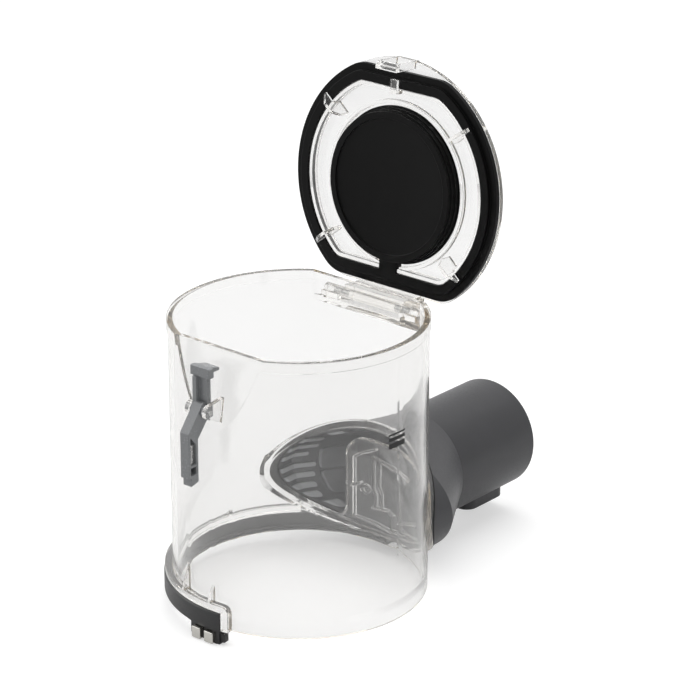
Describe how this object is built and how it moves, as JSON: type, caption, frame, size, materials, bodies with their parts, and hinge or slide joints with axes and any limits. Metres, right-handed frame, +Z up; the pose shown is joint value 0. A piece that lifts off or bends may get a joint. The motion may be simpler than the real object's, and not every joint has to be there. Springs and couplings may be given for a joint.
{
  "type": "vacuum cleaner dust bin",
  "caption": "Clear cyclone dust bin with an open hinged lid, a rubber lid seal, a sprung latch lever, a grey inlet duct with a wand socket, and a wire cover round the base.",
  "frame": {"origin": "centre of the open base mouth, in the plane of its rim", "axes": "+Z up the bin axis to the lid, +Y towards the hinge and the inlet tube, -Y towards the latch"},
  "size_m": [0.1132, 0.2015, 0.2243],
  "materials": {
    "clear_plastic": "clear polished",
    "duct_plastic": "satin",
    "trim_plastic": "satin",
    "lever_plastic": "satin",
    "black_rubber": "satin",
    "black_plastic": "satin",
    "wire_sheath": "satin",
    "nickel_plate": "bright",
    "steel": "bright"
  },
  "bodies": {
    "bin": {"bin_body": "clear_plastic", "inlet_duct": "duct_plastic", "duct_seal": "black_rubber", "wire_cover": "trim_plastic", "contact_left": "nickel_plate", "contact_right": "nickel_plate", "wire_left": "wire_sheath", "wire_right": "wire_sheath", "socket_block": "black_plastic", "socket_pin_left": "nickel_plate", "socket_pin_right": "nickel_plate", "hinge_pin_left": "steel", "hinge_pin_right": "steel", "latch_pin": "steel"},
    "lid": {"lid": "clear_plastic", "lid_seal": "black_rubber"},
    "lever": {"latch_lever": "lever_plastic", "latch_spring": "steel"}
  },
  "joints": [
    {"name": "lid_hinge", "type": "hinge", "parent": "bin", "child": "lid", "pos_m": [0, 0.0492, 0.115], "axis": [1, 0, 0], "range_deg": [0, 95]},
    {"name": "latch_rock", "type": "hinge", "parent": "bin", "child": "lever", "pos_m": [0, -0.0605, 0.0995], "axis": [1, 0, 0], "range_deg": [0, 9], "stiffness_Nm_per_rad": 0.08, "springref_deg": -8.59}
  ]
}
